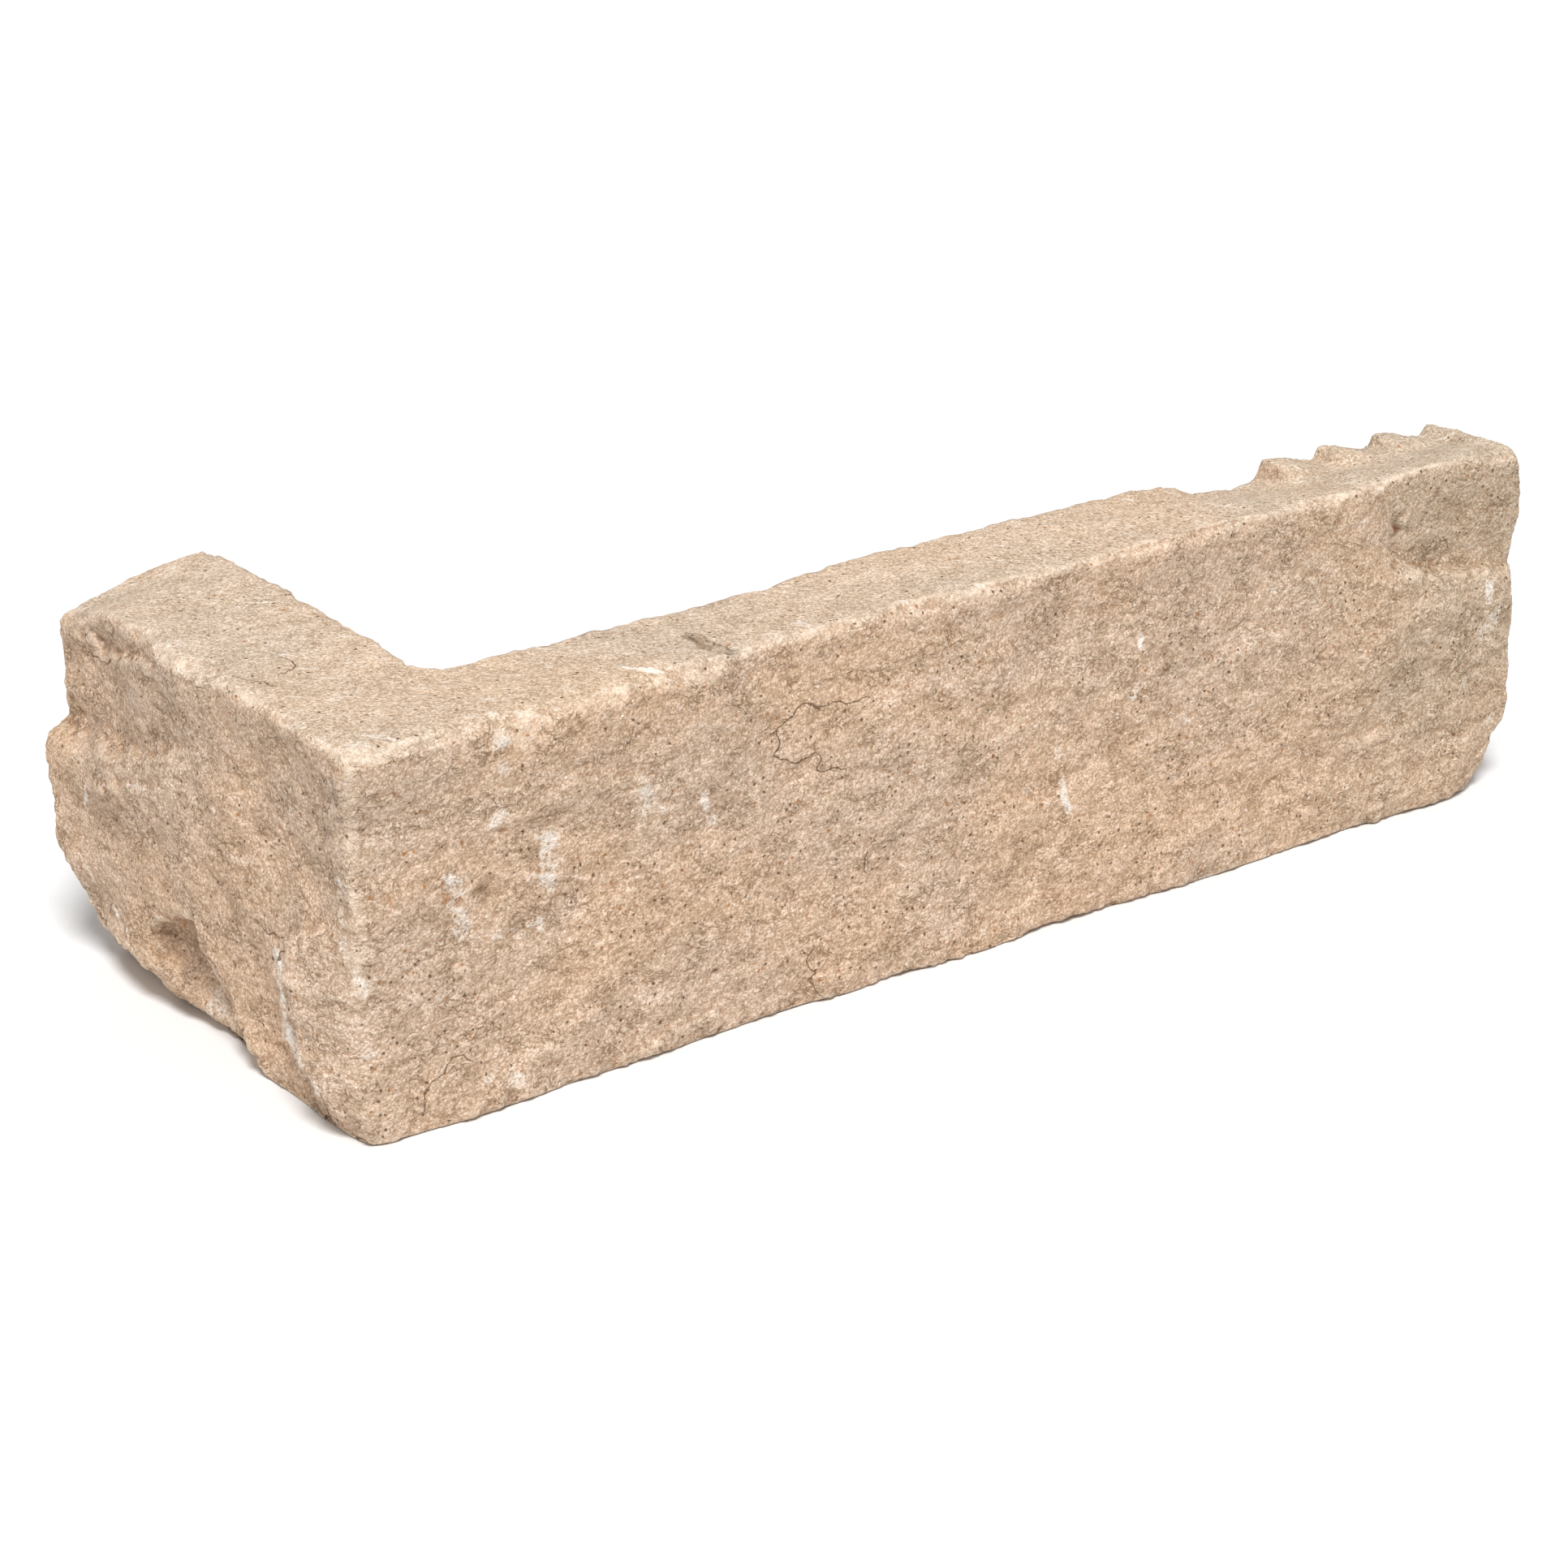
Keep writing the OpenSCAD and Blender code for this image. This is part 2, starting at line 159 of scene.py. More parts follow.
# Marks on the split faces and the top. Places are in millimetres as the picture
# shows them: along the face from the outer corner, and up it. What stands out
# or lies back is seen shifted, by slide for each millimetre. Each step stands
# out by rise on the left of its path and is cut in by drop on the right, both
# dying away over reach.
longFace = {
    "slide": (-0.734, 0.520),
    # width, strength and path of each pale scrape
    "scuffs": [(1.2, 0.5, [(241.5, 40), (242, 31)]), (0.8, 0.7, [(156, 41), (154.5, 38)]),
               (0.9, 0.75, [(156, 50), (156, 48)]), (1.0, 0.75, [(139.5, 27), (140, 24), (141, 21)]),
               (0.5, 0.5, [(236, 22), (240, 30)]),
               (2.6, 0.6, [(34.5, 44), (35, 35)]), (1.6, 0.5, [(26, 29), (33, 28.5)]),
               (2.0, 0.55, [(17, 40), (18.5, 32)]), (1.6, 0.5, [(52, 52), (54, 44)]),
               (1.5, 0.5, [(27, 62), (27.5, 57)]), (1.2, 0.5, [(64, 44), (66, 38)])],
    "steps": [
        # the ledge near the far end, and up round the recess above it
        {"rise": 1.0, "drop": 1.5, "reach": 7,
         "path": [(252, 41.8), (245.9, 42.9), (240, 44.3), (233.6, 45.4), (225.2, 46.9),
                  (219.5, 47.8), (216.6, 49.6), (214.6, 52.2), (213.5, 56)]},
        {"rise": 0.3, "drop": 0.6, "reach": 7, "soft": 2.5,
         "path": [(218, 50), (216.4, 56), (213, 60), (208, 64)]},
        # the flake inside the big crack
        {"rise": 0.45, "drop": 0.1, "reach": 5,
         "path": [(97, 51.8), (92.6, 52.4), (85.6, 53.3), (82.4, 52.3), (78.8, 49.9),
                  (78.9, 47.6), (81.7, 44.1), (86.8, 44.6), (87, 42.4), (91.7, 40.7)]},
        {"rise": 0.5, "drop": 0.3, "reach": 5, "path": [(62, 46), (50, 49.5), (40, 52), (30, 50)]},
        {"rise": 0.5, "drop": 0.5, "reach": 6,
         "path": [(150, 22), (143, 26), (134, 24), (124, 28)]},
        {"rise": 0.5, "drop": 0.5, "reach": 6,
         "path": [(196, 40), (186, 44), (174, 41), (165, 45)]},
        {"rise": 0.6, "drop": 0.5, "reach": 5,
         "path": [(74, 2), (63, 4.2), (54.9, 2.6), (44, 0.4)]},
        {"rise": 0.5, "drop": 0.4, "reach": 6,
         "path": [(232, 16), (222, 20), (210, 17), (202, 21)]},
    ],
    "ridges": [
        {"rise": 0.5, "reach": 4, "path": [(104, 62), (112, 58), (117, 52)]},
    ],
    # place, radius and depth
    "pits": [(217.8, 56.4, 1.7, 0.8), (24, 36.4, 2.2, 0.7), (92, 62, 2.0, 0.6),
             (116.6, 25.3, 0.8, 0.5), (66.3, 10.8, 0.8, 0.5), (47, 34, 2.5, 0.5),
             (134, 12, 3, 0.6), (180, 28, 3, 0.6)],
    "cracks": [
        [(97, 51.8), (92.6, 52.4), (88.6, 52.6), (85.6, 53.3), (83.3, 53.6), (82.4, 52.3),
         (80.8, 51.9), (79.5, 51), (78.8, 49.9), (79.2, 48.7), (78.9, 47.6), (78.7, 46.5),
         (79.8, 45.7), (80.8, 44.8), (81.7, 44.1), (83.2, 44.6), (86.8, 44.6), (87.4, 43.3),
         (87, 42.4), (87.7, 41.5), (90, 40.7), (91.7, 40.7)],
        [(85.6, 8.6), (85.2, 7), (86.6, 5.2), (85.4, 4.4), (86.8, 2.6), (87.6, 1.2)],
        [(19.7, 9.6), (16.4, 10.6), (14.9, 9.7), (15, 7.9), (12.6, 7.5), (11.4, 6.8), (11.7, 3.9),
         (10.5, 2.9)],
        [(97, 24.5), (96.6, 23.2), (97.2, 21.8)],
    ],
    # place, radius and strength
    "bruises": [(35, 42.5, 1.3, 1), (35.1, 38.6, 2.4, 0.9), (34.6, 35, 1.5, 0.7),
                (18.4, 39, 1.8, 1), (17.6, 41.4, 1.2, 1), (26.3, 29.1, 1.2, 0.6),
                (28.3, 3.4, 1.9, 0.9), (22.5, 4.9, 1.3, 0.8), (0.2, 28.9, 1.4, 1),
                (1.5, 26, 1.6, 0.9), (4, 22.6, 1.5, 0.7), (56.3, 42, 1.3, 0.7),
                (52.5, 43, 1.2, 0.8), (52.6, 51.3, 1.4, 0.6), (138.5, 32.5, 1.6, 0.8),
                (154.6, 40, 1.8, 0.8), (157.3, 22.6, 1.3, 0.8), (157.9, 30.1, 1.2, 0.8),
                (243.1, 34, 2.2, 0.9), (240, 31, 1.5, 0.7), (15, 21.2, 1.0, 0.7),
                (2, 15, 1.6, 0.6), (27, 61, 1.6, 0.9), (208, 60, 1.5, 0.8), (211, 56, 1.2, 0.6)],
    "rust": [(18.5, 36.7, 0.9, 1), (16.3, 37.3, 0.9, 1), (6.4, 40, 0.8, 0.9),
             (26.9, 46.1, 0.7, 0.9), (217.7, 56.5, 1.2, 1), (30.4, 62.5, 0.6, 0.8),
             (152, 30, 5, 0.35), (156, 44, 6, 0.3), (8, 56, 6, 0.25)],
    # painted shade in the pits and recesses, with some dirt
    "shadeAndDirt": [(217.6, 56.5, 1.7, 1.1), (23.5, 36.4, 2.4, 0.5), (224, 54, 7, 0.25),
             (234, 51, 6, 0.2), (242, 49, 5, 0.2), (168, 55, 7, 0.35), (166, 45, 7, 0.3),
             (163, 34, 7, 0.3), (160, 24, 7, 0.25), (116.6, 25.3, 0.5, 1), (66.3, 10.8, 0.6, 1),
             (92, 62, 1.6, 0.4)],
}
shortFace = {
    "slide": (-1.363, 0.709),
    "scuffs": [(1.5, 0.75, [(24.5, 23.5), (23.5, 20.5), (22.5, 16.5), (22, 13.5), (21, 9.5),
                            (18.5, 7)]),
               (1.1, 0.6, [(21, 9), (17, 7), (12, 5)]), (2.2, 0.55, [(20.5, 11), (18, 7)]),
               (1.0, 0.8, [(86.5, 31), (87, 28)]),
               (0.5, 0.6, [(65, 38), (73, 36.5)]), (1.2, 0.45, [(4, 44), (3.5, 30)]),
               (0.7, 0.5, [(42.5, 43), (41, 40)]), (0.8, 0.5, [(75, 8), (88, 15)])],
    "steps": [
        # the shelf of the bulging lower part
        {"rise": 0.9, "drop": 1.4, "reach": 7, "soft": 1.4,
         "path": [(104, 39), (95.4, 39.8), (90.9, 39.8), (84.8, 41), (76.1, 41), (64.4, 43.4),
                  (55.5, 47.8), (48.4, 50.8)]},
        # the nose at the lower corner, up its bruised edge and over its top
        {"rise": 1.5, "drop": 0.9, "reach": 8, "soft": 0.4,
         "path": [(4, 0), (6.9, 1.8), (11.7, 4), (17.4, 8.1), (20.2, 9.1), (22.2, 11.8),
                  (21.9, 14.8), (23, 19.3), (24.1, 23.1), (23.4, 26)]},
        {"rise": 1.1, "drop": 0.5, "reach": 7, "soft": 1.6,
         "path": [(26, 24), (22.6, 27), (15.5, 30.7), (9.1, 33.6), (3, 37)]},
        # the rim of the scoop at the foot
        {"rise": 0.9, "drop": 2.4, "reach": 7, "soft": 0.6,
         "path": [(29, -1), (33.9, 2.1), (37.6, 5), (42.6, 8.1), (45, 10.8), (47.4, 13.5),
                  (49.8, 16.2), (50.8, 19.6), (55, 18.6), (62.4, 15.5), (68.7, 10.9)]},
        # the slanting cut along the far foot
        {"rise": 0.6, "drop": 1.6, "reach": 5, "soft": 0.5,
         "path": [(61, 4.6), (69.6, 4.2), (79.6, 5.7), (85.3, 7.4), (89.5, 9.6), (94.9, 13.7),
                  (98.9, 17.7)]},
        # the broken hollow under the top edge
        {"rise": 0.8, "drop": 1.3, "reach": 4,
         "path": [(92.6, 57.8), (85, 59), (78, 57.5), (67.8, 59.8), (58, 60.4)]},
        {"rise": 0.5, "drop": 0.5, "reach": 5,
         "path": [(87.6, 31.4), (75.5, 35.2), (60.7, 39.6), (53.6, 41.4)]},
    ],
    "ridges": [
        # the slanting crease from the top edge to the nose
        {"rise": 0.9, "reach": 7,
         "path": [(57.9, 60.9), (52, 59.3), (47.6, 56.9), (45.7, 50.3), (41, 45.6), (40.3, 40.3),
                  (35.8, 33.5), (31, 28.9), (27.4, 26.8)]},
        # the strip worn hollow beside the corner
        {"rise": -0.8, "reach": 3.5, "path": [(8, 62), (9, 55), (9.5, 48), (7.5, 42), (6, 38)]},
    ],
    "pits": [(58, 12, 5, 1.2), (64, 9, 3.5, 1.0), (51, 8, 4.5, 1.0), (78, 48, 4, 0.5),
             (60, 52, 4, 0.6)],
    "cracks": [[(18.7, 26.9), (21.8, 24.8), (24.1, 23.1)], [(22.1, 27.9), (24, 26.5), (27.4, 26.8)],
               [(86, 56.4), (80, 55.6), (76, 57)]],
    "bruises": [(24, 22.6, 1.0, 0.9), (23.3, 20, 0.8, 1), (22.9, 17.5, 0.8, 1),
                (22, 14.5, 0.8, 1), (21.8, 11.8, 1, 1), (19.5, 9, 1, 1), (17.2, 7.8, 0.9, 1),
                (13, 5, 1, 0.8), (9, 2.8, 1, 0.8), (72.5, 35.4, 0.7, 0.7), (76.5, 35, 0.7, 0.7),
                (68, 36.4, 0.7, 0.6), (86.5, 28.5, 1.4, 0.8), (62, 14.8, 0.9, 0.7),
                (51, 19, 0.8, 0.6), (48.5, 5.5, 3.5, 0.9), (44, 7, 2, 0.6), (50, 2, 2.5, 0.7),
                (4, 60, 3, 0.5), (7, 62, 3, 0.5), (41, 46, 1.2, 0.5), (89, 10, 0.8, 0.6),
                (92, 12.5, 0.7, 0.6)],
    "rust": [(19.3, 58.6, 0.7, 1), (18.6, 57.5, 0.6, 0.8), (45, 6, 4, 0.25), (84, 45, 5, 0.3),
             (12, 46, 5, 0.2)],
    # painted shade in the scoop at the foot, above the shelf and in the hollows, with some dirt
    "shadeAndDirt": [(64.5, 10, 2.5, 1.1), (64, 10, 5, 0.75), (57, 13, 5, 0.75), (57, 7, 5, 0.7),
             (50, 13, 4, 0.6), (84, 43, 5, 0.5), (72, 45, 5, 0.5), (93, 42, 4, 0.5),
             (62, 47, 4, 0.4), (90, 56, 5, 0.45), (78, 57, 5, 0.4), (9, 50, 3.5, 0.4),
             (8, 44, 3, 0.4), (7, 40, 3, 0.4), (78, 30, 9, 0.3), (70, 26, 9, 0.25),
             (40, 22, 6, 0.25)],
}
# on the top: along the long leg and back from its split face
topFace = {
    "slide": (1.411, 1.922),
    "steps": [
        {"rise": 0.3, "drop": 0.8, "reach": 4, "soft": 0.4,
         "path": [(101, -2), (106, 3), (112, 2), (121, -2)]},
        {"rise": 0.3, "drop": 0.3, "reach": 5, "path": [(18, 60), (12, 52), (14, 44)]},
        {"rise": 0.3, "drop": 0.3, "reach": 6,
         "path": [(196, 20), (180, 12), (160, 16), (146, 24)]},
    ],
    # a groove cut across the top, which the material draws once more with a painted shadow
    "ridges": [{"rise": -1.8, "reach": 1.2, "path": [(70.5, 12.5), (70.5, 9), (71, 5.5),
               (71.5, 1.5)]}],
    "shadedGroove": [(70.8, 12.5), (70.8, 9), (71, 5.5), (71.5, 1.5)],
    "scuffs": [(0.8, 0.9, [(54, 6.5), (56.5, 3), (59.5, -2.5)]), (0.6, 0.7, [(64, -1), (66, -3)]),
               (1.2, 0.6, [(87.5, 6.5), (88.5, 4.5)]), (0.6, 0.7, [(21, 66.5), (24.5, 65)]),
               (0.5, 0.5, [(3, 77.5), (-2, 76)]), (0.8, 0.7, [(6.5, 6), (9, 3.5), (10, -1)]),
               (0.5, 0.5, [(12, 52), (14, 49)]), (0.5, 0.4, [(40, 18), (46, 17)])],
    "pits": [],
    "rust": [(167, 18, 9, 0.3), (175, 21, 6, 0.25), (14, 78, 7, 0.2)],
    "cracks": [[(3.5, 37.5), (4.5, 35), (6, 32.5)], [(13, 41), (13.5, 37.5), (10, 36)]],
    "bruises": [(20, 33, 2, 0.5), (12, 62, 2.5, 0.5), (29, 7, 2.5, 0.6), (28, 1, 3, 0.7),
                (60, 2, 2.5, 0.5), (5, 3, 3, 0.6), (83, 3, 3, 0.6), (130, 3, 3, 0.5),
                (150, 14, 2.5, 0.4), (3, 20, 2.5, 0.6), (2, 60, 3, 0.5)],
    # painted shadow along the groove
    "shadeAndDirt": [(70.5, 11, 1.4, 1), (70.5, 9, 1.4, 1.1), (70.5, 7, 1.4, 1.1), (71, 5, 1.2, 1),
             (71, 3, 1.0, 0.8)],
}


def meshPoints(obj):
    co = np.empty(len(obj.data.vertices) * 3, np.float32)
    obj.data.vertices.foreach_get("co", co)
    return co.reshape(-1, 3)


def store(obj, name, values):
    kind = "FLOAT" if values.ndim == 1 else "FLOAT_VECTOR"
    attr = obj.data.attributes.new(name, kind, "POINT")
    flat = np.ascontiguousarray(values, np.float32).ravel()
    attr.data.foreach_set("value" if kind == "FLOAT" else "vector", flat)


def smooth(t):
    t = np.clip(t, 0, 1)
    return t * t * (3 - 2 * t)


# distance to a path, positive on its left, how far inside its ends, and its length
def pathSide(u, v, path):
    best = np.full(u.shape, 1e3)
    side = np.ones(u.shape)
    inside = np.zeros(u.shape)
    lengths = [math.dist(a, b) for a, b in zip(path, path[1:])]
    done, total = 0.0, sum(lengths)
    for (ax, ay), (bx, by), size in zip(path, path[1:], lengths):
        dx, dy = bx - ax, by - ay
        t = np.clip(((u - ax) * dx + (v - ay) * dy) / size ** 2, 0, 1)
        away = np.hypot(u - ax - t * dx, v - ay - t * dy)
        nearer = away < best - 1e-6
        best = np.where(nearer, away, best)
        side = np.where(nearer, np.where(dx * (v - ay) - dy * (u - ax) > 0, 1.0, -1.0), side)
        at = done + t * size
        inside = np.where(nearer, np.minimum(at, total - at), inside)
        done += size
    return best * side, inside, total


# how far the steps stand out, and the marks, at the places u, v of a face
def markFace(face, u, v):
    u, v = (u + 0.4 * np.sin(1.3 * v + 0.7 * u) + 0.1 * np.sin(2.9 * v - 2.1 * u),
            v + 0.4 * np.sin(0.9 * u - 1.1 * v) + 0.1 * np.sin(2.3 * u + 2.7 * v))
    out = np.zeros(u.shape)
    for step in face["steps"]:
        s, inside, size = pathSide(u, v, step["path"])
        above = 0.5 + 0.5 * np.tanh((s + 0.15 * np.sin(2.6 * u + 2 * v)) / step.get("soft", 0.8))
        ends = smooth(inside / min(8, size / 3))
        stands = above * step["rise"] - (1 - above) * step["drop"]
        out += ends * stands * np.exp(-np.abs(s) / step["reach"])
    for ridge in face["ridges"]:
        s, inside, size = pathSide(u, v, ridge["path"])
        out += smooth(inside / min(6, size / 3)) * ridge["rise"] * np.exp(-np.abs(s) / ridge["reach"])
    for pu, pv, radius, depth in face["pits"]:
        out -= depth * np.exp(-((u - pu) ** 2 + (v - pv) ** 2) / radius ** 2)
    crack = np.full(u.shape, 5.0)
    for path in face["cracks"]:
        s, inside, size = pathSide(u, v, path)
        crack = np.where(np.abs(s) < np.abs(crack), s, crack)
    marks = {"crack": crack}
    for name in ("bruises", "rust", "shadeAndDirt"):
        field = np.zeros(u.shape)
        for pu, pv, radius, strength in face[name]:
            field = np.maximum(field, strength * np.exp(-((u - pu) ** 2 + (v - pv) ** 2) / radius ** 2))
        marks[name] = field
    return out, marks


# swaps an object for a plain mesh of its evaluated shape
def evaluated(obj, name):
    depsgraph = bpy.context.evaluated_depsgraph_get()
    mesh = bpy.data.meshes.new_from_object(obj.evaluated_get(depsgraph))
    new = bpy.data.objects.new(name, mesh)
    bpy.context.collection.objects.link(new)
    bpy.data.objects.remove(obj)
    return new


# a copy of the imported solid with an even, dense mesh
def denseCopy(node):
    mesh = bpy.data.meshes.new("rough")
    work = bmesh.new()
    work.from_mesh(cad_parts[node].data)
    bmesh.ops.remove_doubles(work, verts=work.verts, dist=1e-6)
    bmesh.ops.recalc_face_normals(work, faces=work.faces)
    work.to_mesh(mesh)
    work.free()
    obj = bpy.data.objects.new("rough", mesh)
    bpy.context.collection.objects.link(obj)
    remesh = obj.modifiers.new("even", "REMESH")
    remesh.mode = "VOXEL"
    remesh.voxel_size = skin["voxel"]
    remesh.adaptivity = 0
    return evaluated(obj, "dense")


# uneven bites along an edge, between -size and size
def nibble(t, size):
    return size * (0.45 * np.sin(0.71 * t + 1.3 * np.sin(0.29 * t))
                   + 0.35 * np.sin(1.63 * t + 2.1 * np.sin(0.53 * t))
                   + 0.2 * np.sin(3.1 * t + 1.7 * np.sin(1.1 * t)))


# chips broken from the top arris: how many a metre, and their reach and depth in
# millimetres
arrisChips = {"each": 300, "reach": (2.0, 7.0), "depth": (0.2, 1.1), "seed": 11}


def chipArris(carve, u, v, w):
    rng = np.random.default_rng(arrisChips["seed"])
    for along, back, axis, leg in ((u, v, 1, longLeg), (v, u, 0, shortLeg)):
        length = leg["length"]
        near = np.flatnonzero((w > 54) & (back < 12) & (along > back - 2))
        a, b, c = along[near], back[near], w[near]
        most = np.zeros(len(near))
        first = carve[near].copy()
        for _ in range(int(arrisChips["each"] * length / 1000)):
            middle = rng.uniform(0, length)
            reach = rng.uniform(*arrisChips["reach"])
            depth = rng.uniform(*arrisChips["depth"]) ** 1.3
            lean, skew = rng.uniform(0.5, 1.15), rng.uniform(-0.25, 0.25)
            out, up = -math.cos(lean), math.sin(lean)
            close = np.flatnonzero(np.abs(a - middle) < reach)
            if not len(close):
                continue
            level = out * b[close] + up * c[close] + skew * (a[close] - middle)
            over = np.maximum(0, level - (level.max() - depth))
            cut = over * smooth((1 - np.abs(a[close] - middle) / reach) / 0.45)
            close, cut = close[cut > most[close]], cut[cut > most[close]]
            most[close] = cut
            carve[near[close], axis] = first[close, axis] - cut * out
            carve[near[close], 2] = first[close, 2] - cut * up


# stores where the stone is sawn, split or worn, what is carved from it and its marks
def markStone(obj):
    co = meshPoints(obj)
    x, y, z = co.T
    near = 0.4 * mm
    sawn = (np.abs(y - longBack) < near) & (x > shortBack)
    sawn = sawn | ((np.abs(x - shortBack) < near) & (y > longBack))
    fillet = 4 * mm
    turn = np.hypot(x - shortBack - fillet, y - longBack - fillet) < fillet + near
    sawn = sawn | (turn & (x > shortBack - near) & (y > longBack - near))
    loose = 1.0 - (sawn | (z < near))
    store(obj, "sawn", sawn.astype(float))
    store(obj, "loose", loose)
    u, v, w = (co - np.array(corner, np.float32)).T.astype(float) / mm
    carve = np.zeros(co.shape)
    marks = {"crack": np.full(u.shape, 5.0)}
    for face, along, up, depth, axis in (
            (longFace, u, w, v, 1), (shortFace, v, w, u, 0), (topFace, u, v, w - height, 2)):
        on = smooth((faceDepth - depth) / faceFade) if axis < 2 else smooth((w - topFrom) / topFade)
        slide = face["slide"]
        out, found = markFace(face, along + slide[0] * depth, up + slide[1] * depth)
        carve[:, axis] += on * out * (-1 if axis < 2 else 1)
        for name, field in found.items():
            if name == "crack":
                use = (np.abs(field) < np.abs(marks[name])) & (on > 0.5)
                marks[name] = np.where(use, field, marks[name])
            else:
                marks[name] = np.maximum(marks.get(name, 0), on * field)
    # scallops along the foot, and a nibbled back edge on the top
    foot = np.exp(-np.maximum(w, 0) / 4.5)
    carve[:, 1] -= smooth((faceDepth - v) / faceFade) * foot * nibble(0.5 * u, 0.6)
    carve[:, 0] -= smooth((faceDepth - u) / faceFade) * foot * nibble(0.5 * v + 40, 0.6)
    toBack = np.where(u > 30, np.abs(longLeg["thick"] - v), np.abs(shortLeg["thick"] - u))
    atBack = np.exp(-toBack / 1.6)
    carve[:, 2] += smooth((w - 57) / 3) * atBack * nibble(0.6 * (u - v), 0.35)
    front = smooth((14 - np.minimum(u, v)) / 4)
    store(obj, "front", front)
    store(obj, "high", smooth((w - 56) / 4))
    atRim = smooth((w - 58) / 3) * front
    atCorner = smooth((6 - np.hypot(u, v)) / 3) * smooth((w - 24) / 6)
    store(obj, "brink", np.maximum(atRim, 0.8 * atCorner))
    chipArris(carve, u, v, w)
    carve[:, :2] *= loose[:, None]
    store(obj, "carve", carve * mm)
    # painted shade in patches on the faces just under the arris
    shadeUnderArris = smooth((w - 50) / 6) * smooth((63.5 - w) / 1.5) * front
    marks["shadeAndDirt"] = np.maximum(marks["shadeAndDirt"], 0.28 * shadeUnderArris)
    for name, field in marks.items():
        store(obj, name, field)


# rounds the facets, breaks the skin and notes how far each point stands out
def splitTree():
    tree = bpy.data.node_groups.new("split_skin", "GeometryNodeTree")
    face = tree.interface
    face.new_socket("Geometry", in_out="INPUT", socket_type="NodeSocketGeometry")
    face.new_socket("Geometry", in_out="OUTPUT", socket_type="NodeSocketGeometry")
    sizes = {}
    for name in bumpSize:
        sizes[name] = face.new_socket(name, in_out="INPUT", socket_type="NodeSocketFloat").identifier
    for name, kind in (("round", "NodeSocketInt"), ("material", "NodeSocketMaterial")):
        sizes[name] = face.new_socket(name, in_out="INPUT", socket_type=kind).identifier
    start = add(tree, "NodeGroupInput")
    asked = start.outputs
    place = add(tree, "GeometryNodeInputPosition").outputs[0]
    normal = add(tree, "GeometryNodeInputNormal").outputs[0]

    def read(name, kind="FLOAT"):
        node = add(tree, "GeometryNodeInputNamedAttribute", data_type=kind)
        node.inputs["Name"].default_value = name
        return node.outputs["Attribute"]

    def times(a, b):
        return calc(tree, "MULTIPLY", a, b)

    def less(a):
        return calc(tree, "SUBTRACT", 1.0, a)

    def blurred(value, passes, weight=None):
        node = add(tree, "GeometryNodeBlurAttribute", data_type="FLOAT_VECTOR")
        link(tree, value, node.inputs["Value"])
        link(tree, passes, node.inputs["Iterations"])
        link(tree, weight, node.inputs["Weight"])
        return node.outputs[0]

    def move(geometry, offset=None, position=None):
        node = add(tree, "GeometryNodeSetPosition")
        link(tree, geometry, node.inputs["Geometry"])
        link(tree, offset, node.inputs["Offset"])
        link(tree, position, node.inputs["Position"])
        return node.outputs[0]

    def keep(geometry, name, value):
        node = add(tree, "GeometryNodeStoreNamedAttribute", data_type="FLOAT", domain="POINT")
        link(tree, geometry, node.inputs["Geometry"])
        node.inputs["Name"].default_value = name
        link(tree, value, node.inputs["Value"])
        return node.outputs[0]

    # how far a point stands out from its surroundings, in millimetres
    def standing(passes):
        off = vector(tree, "SUBTRACT", place, blurred(place, passes))
        return times(vector(tree, "DOT_PRODUCT", off, normal), 1 / mm)

    loose = read("loose")
    shape = keep(start.outputs[0], "edge", standing(16))
    edge = span(tree, read("edge"), 0.12, 0.7)
    shape = move(shape, position=blurred(place, asked["round"], times(loose, less(times(edge, 0.8)))))
    shape = move(shape, offset=read("carve", "FLOAT_VECTOR"))

    # the arrises: between the top and the faces, and down the outer corner
    up = add(tree, "ShaderNodeSeparateXYZ")
    link(tree, blurred(normal, 4), up.inputs[0])
    slope = up.outputs["Z"]
    rim = times(span(tree, slope, 0.28, 0.6), span(tree, slope, 0.96, 0.82))
    leftward, forward = (calc(tree, "MINIMUM", up.outputs[axis], 0.0) for axis in ("X", "Y"))
    rim = calc(tree, "MAXIMUM", rim, span(tree, times(leftward, forward), 0.12, 0.4, 0.0, 0.8))
    shape = keep(shape, "arris", times(rim, read("brink")))

    bedded = vector(tree, "MULTIPLY", place, bedding)

    def bumps(name, detail, warp, ridged=False):
        n = calc(tree, "SUBTRACT", grainNoise(tree, bedded, bumpSize[name], detail, 0.55, warp), 0.5)
        if ridged:
            n = calc(tree, "SUBTRACT", skin["crest"], calc(tree, "ABSOLUTE", n))
        return times(n, skin["gain"])

    # the relief is shallower on the top and stops at the sawn backs and the bed
    relief = times(bumps("wave", 1.5, 0.6), asked["wave"])
    relief = calc(tree, "ADD", relief, times(bumps("hollow", 2.0, 1.2, True), asked["hollow"]))
    relief = calc(tree, "ADD", relief, times(bumps("grain", 1.0, 0.5), asked["grain"]))
    level = times(span(tree, slope, 0.6, 0.95), read("high"))
    shape = keep(shape, "level", level)
    relief = times(relief, less(times(level, 0.62)))
    chips = times(bumps("chip", 2.0, 0.8), times(asked["chip"], times(edge, read("front"))))
    relief = times(calc(tree, "ADD", relief, chips), loose)
    shape = move(shape, offset=vector(tree, "SCALE", normal, scale=relief))
    shape = keep(shape, "proud", standing(3))
    shape = keep(shape, "brow", standing(9))

    paint = add(tree, "GeometryNodeSetMaterial")
    link(tree, shape, paint.inputs["Geometry"])
    link(tree, asked["material"], paint.inputs["Material"])
    real = add(tree, "GeometryNodeRealizeInstances")
    link(tree, paint.outputs[0], real.inputs[0])
    end = add(tree, "NodeGroupOutput")
    link(tree, real.outputs[0], end.inputs[0])
    return tree, sizes


